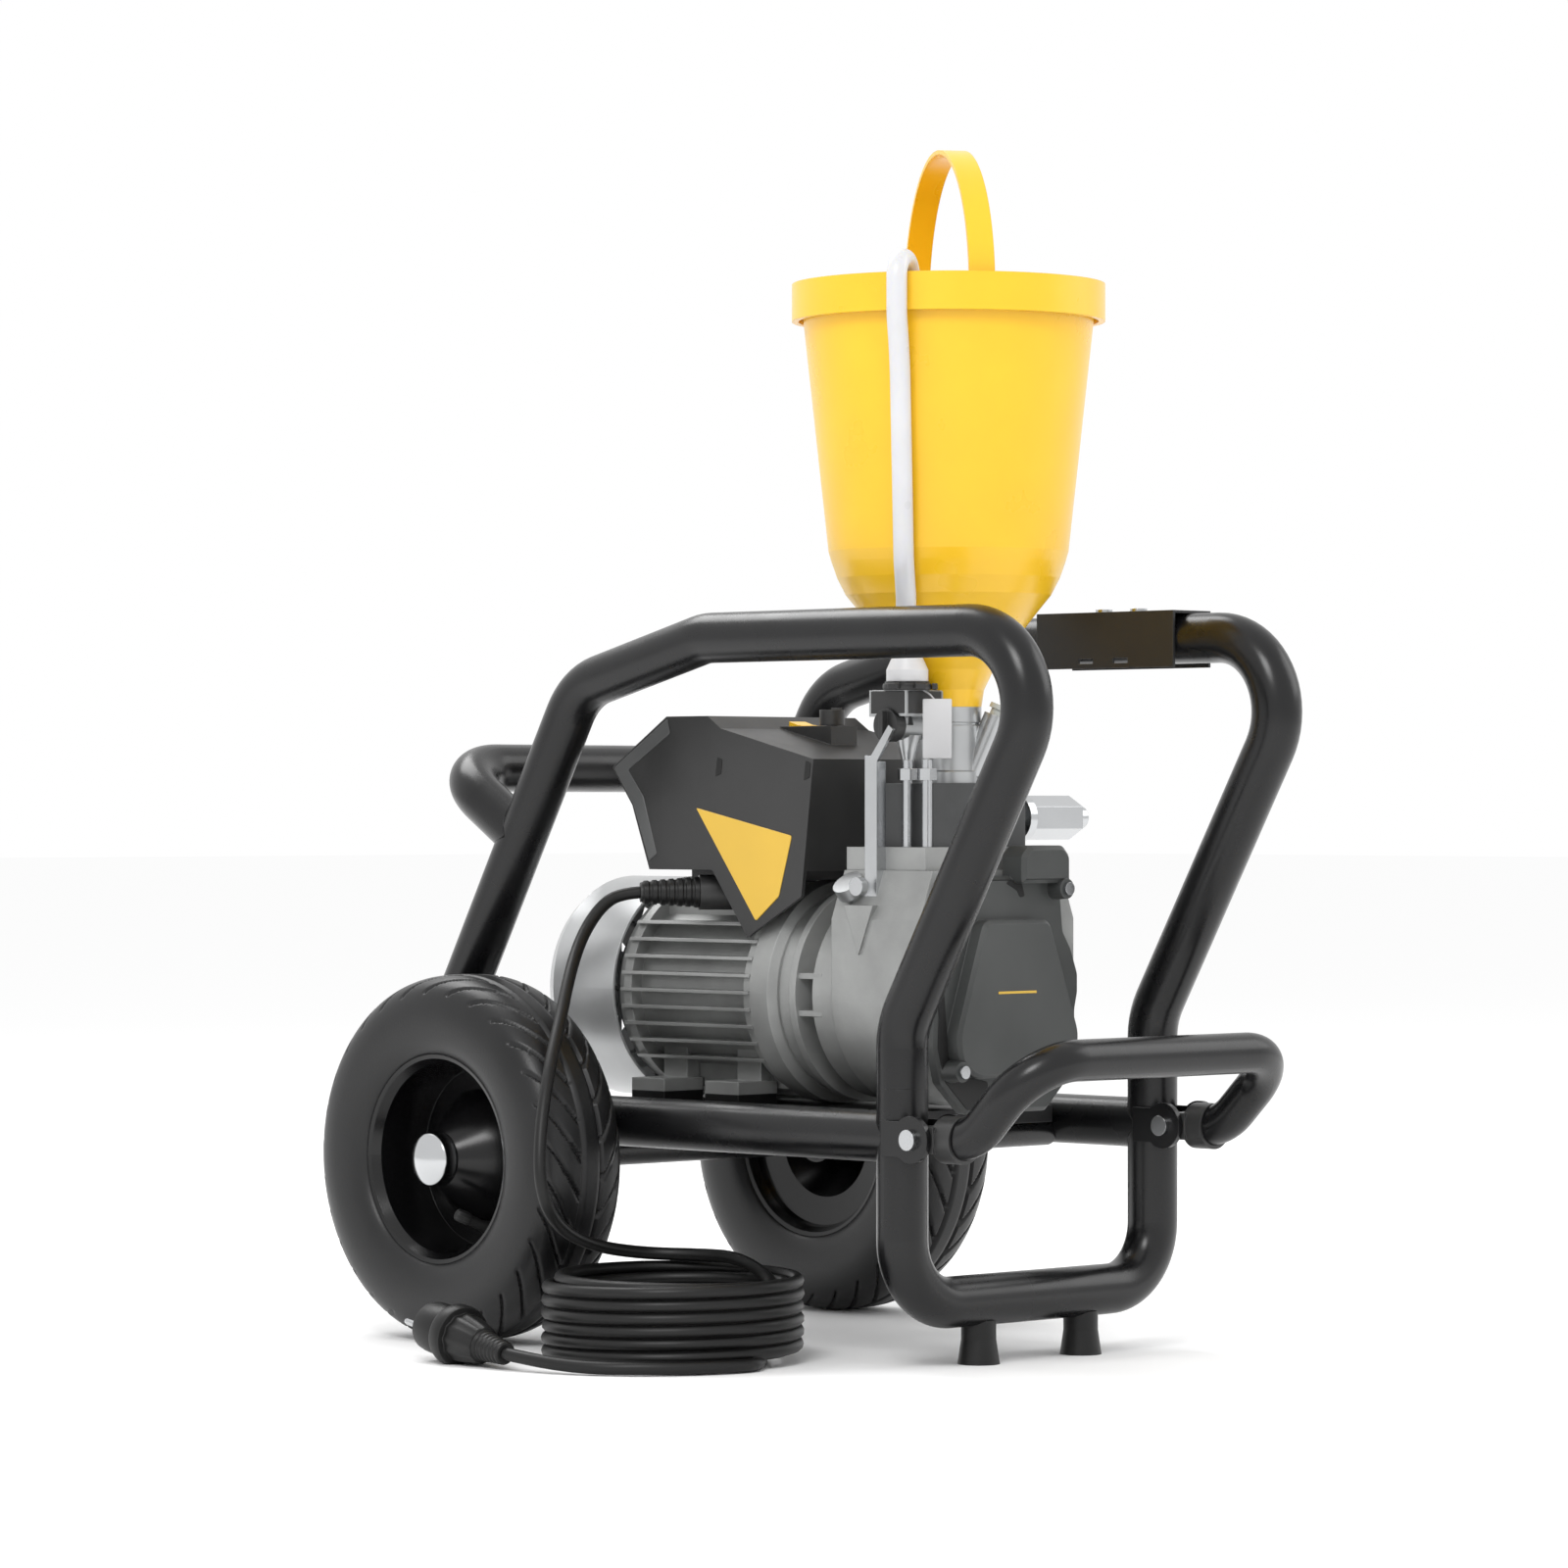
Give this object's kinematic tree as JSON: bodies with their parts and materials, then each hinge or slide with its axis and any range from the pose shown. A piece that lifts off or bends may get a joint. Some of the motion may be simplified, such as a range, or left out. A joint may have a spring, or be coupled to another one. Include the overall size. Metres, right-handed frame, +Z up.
{
  "type": "airless paint sprayer",
  "caption": "Wheeled airless paint sprayer: tubular trolley with folding front handle, electric motor, diaphragm pump, gravity hopper with bail, return hose, controller and coiled mains cord.",
  "frame": {"origin": "centre of the footprint box of trolley and wheels, on the ground", "axes": "+Z up, -Y towards the pump end and the folding handle, +X towards the paint outlet"},
  "size_m": [0.5562, 0.636, 0.8381],
  "materials": {
    "satin_black_frame": "satin",
    "black_sheet": "satin",
    "zinc_steel": "bright zinc",
    "chrome": "polished",
    "cast_aluminium": "fine cast, painted silver",
    "bright_aluminium": "machined",
    "cover_silver": "satin silver",
    "black_shield": "satin",
    "black_plastic": "fine texture",
    "grey_plastic": "fine texture",
    "yellow_plastic": "satin moulding",
    "white_plastic": "satin",
    "white_hose": "smooth",
    "clear_grey_plastic": "smooth",
    "tyre_rubber": "matt",
    "black_rubber": "matt",
    "rim_black": "gloss",
    "brass": "machined",
    "laminated_steel": "laminated",
    "circuit_board": "lacquered"
  },
  "bodies": {
    "frame": {"front_hoop": "satin_black_frame", "side_frame_left": "satin_black_frame", "side_frame_right": "satin_black_frame", "rear_handle": "satin_black_frame", "cross_members": "satin_black_frame", "base_plate": "zinc_steel", "rubber_feet": "black_rubber", "tool_saddle": "black_sheet", "axle": "zinc_steel", "axle_caps": "chrome", "fasteners": "zinc_steel", "motor_housing": "cast_aluminium", "motor_pads": "black_rubber", "rear_end_shield": "black_shield", "fan_cover": "cover_silver", "end_shield": "cast_aluminium", "bell_housing": "cast_aluminium", "stator": "laminated_steel", "shaft_bearings": "chrome", "pump_housing": "cast_aluminium", "piston": "zinc_steel", "piston_spring": "zinc_steel", "diaphragm": "black_rubber", "front_cover": "black_plastic", "head_block": "bright_aluminium", "manifold": "cast_aluminium", "inlet_housing": "cast_aluminium", "outlet_fitting": "chrome", "stay_bar": "zinc_steel", "filler_cap": "chrome", "relief_valve": "bright_aluminium", "hose_clamp": "grey_plastic", "hose_fitting": "white_plastic", "hopper": "yellow_plastic", "hopper_strainer": "zinc_steel", "return_hose": "white_hose", "controller_cover": "grey_plastic", "controller_base": "black_plastic", "controller_board": "circuit_board", "cable_gland": "black_plastic", "power_cord_run": "black_rubber", "power_cord_tail": "black_rubber", "power_cord_coil": "black_rubber", "power_plug": "black_rubber"},
    "handle": {"front_handle": "satin_black_frame", "handle_sleeves": "black_plastic"},
    "wheel_left": {"tyre_left": "tyre_rubber", "rim_left": "rim_black", "wheel_bearings_left": "chrome"},
    "wheel_right": {"tyre_right": "tyre_rubber", "rim_right": "rim_black", "wheel_bearings_right": "chrome"},
    "rotor": {"rotor": "laminated_steel", "eccentric_shaft": "zinc_steel", "cooling_fan": "black_plastic"},
    "bail": {"hopper_bail": "yellow_plastic"},
    "relief_knob": {"relief_knob": "grey_plastic"},
    "pusher": {"pusher_button": "brass"},
    "rocker": {"power_switch": "yellow_plastic"},
    "pressure_knob": {"pressure_knob": "clear_grey_plastic"}
  },
  "joints": [
    {"name": "wheel_left_spin", "type": "hinge", "parent": "frame", "child": "wheel_left", "pos_m": [-0.186, 0.188, 0.13], "axis": [1, 0, 0], "continuous": true},
    {"name": "wheel_right_spin", "type": "hinge", "parent": "frame", "child": "wheel_right", "pos_m": [0.186, 0.188, 0.13], "axis": [1, 0, 0], "continuous": true},
    {"name": "front_handle_fold", "type": "hinge", "parent": "frame", "child": "handle", "pos_m": [0, -0.2105, 0.157], "axis": [1, 0, 0], "range_deg": [0, 65]},
    {"name": "motor_spin", "type": "hinge", "parent": "frame", "child": "rotor", "pos_m": [0, 0.081, 0.248], "axis": [0, 1, 0], "continuous": true},
    {"name": "hopper_bail_swing", "type": "hinge", "parent": "frame", "child": "bail", "pos_m": [0, -0.105, 0.73], "axis": [0.5255, 0.8508, 0], "range_deg": [-30, 68]},
    {"name": "relief_knob_turn", "type": "hinge", "parent": "frame", "child": "relief_knob", "pos_m": [-0.058, -0.105, 0.435], "axis": [-1, 0, 0], "range_deg": [0, 90]},
    {"name": "pusher_press", "type": "slide", "parent": "frame", "child": "pusher", "axis": [-0.2803, 0.2703, -0.9211], "range_m": [0, 0.003], "stiffness_N_per_m": 1500},
    {"name": "power_switch_rock", "type": "hinge", "parent": "frame", "child": "rocker", "pos_m": [0, 0.035, 0.434], "axis": [-1, 0, 0], "range_deg": [0, 16]},
    {"name": "pressure_knob_turn", "type": "hinge", "parent": "frame", "child": "pressure_knob", "pos_m": [0, 0.01, 0.436], "axis": [0, 0, 1], "range_deg": [0, 270]}
  ]
}
